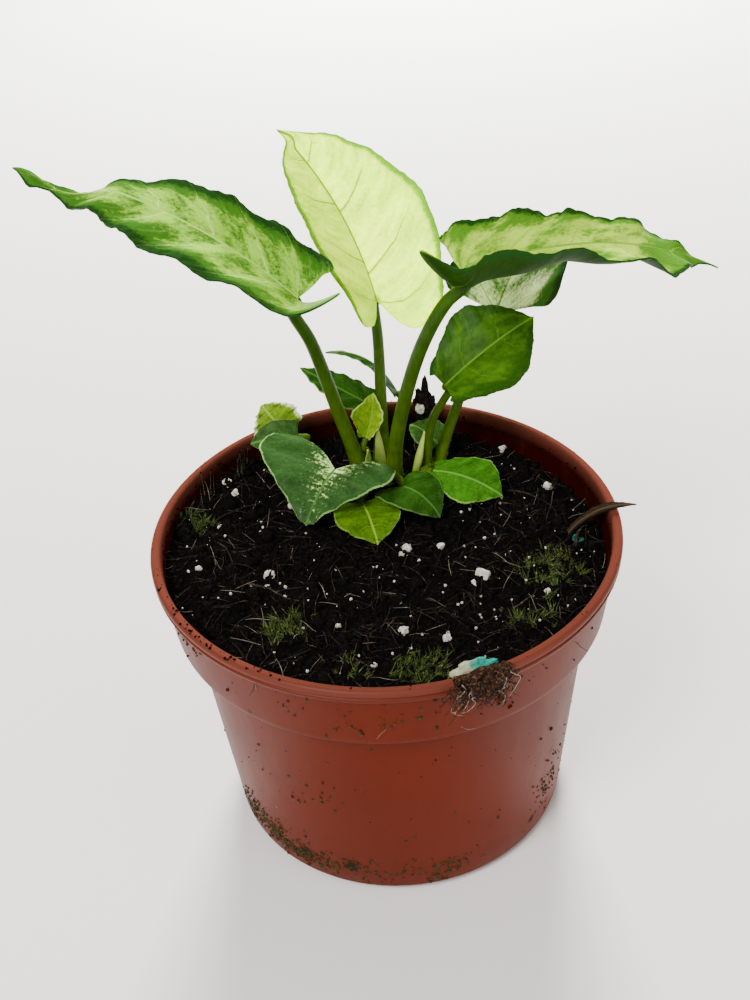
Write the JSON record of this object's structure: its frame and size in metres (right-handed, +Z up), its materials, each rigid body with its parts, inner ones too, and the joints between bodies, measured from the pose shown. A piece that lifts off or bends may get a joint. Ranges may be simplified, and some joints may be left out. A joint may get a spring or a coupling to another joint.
{
  "type": "potted arrowhead plant",
  "caption": "Young arrowhead plant with mottled leaves on slender stalks, growing in peat in a round plastic nursery pot.",
  "frame": {"origin": "centre of the pot's underside, on the surface that it stands on", "axes": "+Z up along the pot's axis, -Y towards the viewer, -X towards the long left leaf"},
  "size_m": [0.1757, 0.1422, 0.1701],
  "materials": {
    "pot": "satin terracotta-brown",
    "soil": "matt dark peat",
    "main_stems": "satin olive green",
    "right_stems": "satin olive green",
    "rim_stems": "satin olive green",
    "left_leaf": "satin, mottled pale and mid green",
    "centre_leaf": "satin, pale yellow-green",
    "right_leaf": "satin, mottled, dark green below",
    "back_leaf": "satin, white and green",
    "middle_leaf": "satin, mottled mid green",
    "low_right_leaf": "satin, bright green",
    "low_centre_leaf": "satin, dark green",
    "low_left_leaf": "satin, dark green with pale streaks",
    "low_front_leaf": "satin, yellow-green",
    "young_leaf": "satin, yellow-green",
    "rolled_leaf": "satin, pale green",
    "behind_left_leaf": "satin, dark green",
    "behind_thin_leaf": "satin, dark green",
    "rim_leaf": "satin, grey-green",
    "frilled_leaf": "satin, yellow-green",
    "back_low_leaf": "satin, grey-green",
    "bark_clump": "matt dark bark",
    "mouldy_chip": "matt, turquoise and white",
    "rim_clump": "matt dark peat",
    "leaf_scrap": "matt, dead brown"
  },
  "bodies": {
    "root": {"pot": "pot", "soil": "soil", "main_stems": "main_stems", "right_stems": "right_stems", "rim_stems": "rim_stems", "left_leaf": "left_leaf", "centre_leaf": "centre_leaf", "right_leaf": "right_leaf", "back_leaf": "back_leaf", "middle_leaf": "middle_leaf", "low_right_leaf": "low_right_leaf", "low_centre_leaf": "low_centre_leaf", "low_left_leaf": "low_left_leaf", "low_front_leaf": "low_front_leaf", "young_leaf": "young_leaf", "rolled_leaf": "rolled_leaf", "behind_left_leaf": "behind_left_leaf", "behind_thin_leaf": "behind_thin_leaf", "rim_leaf": "rim_leaf", "frilled_leaf": "frilled_leaf", "back_low_leaf": "back_low_leaf", "bark_clump": "bark_clump", "mouldy_chip": "mouldy_chip", "rim_clump": "rim_clump", "leaf_scrap": "leaf_scrap"}
  },
  "joints": []
}
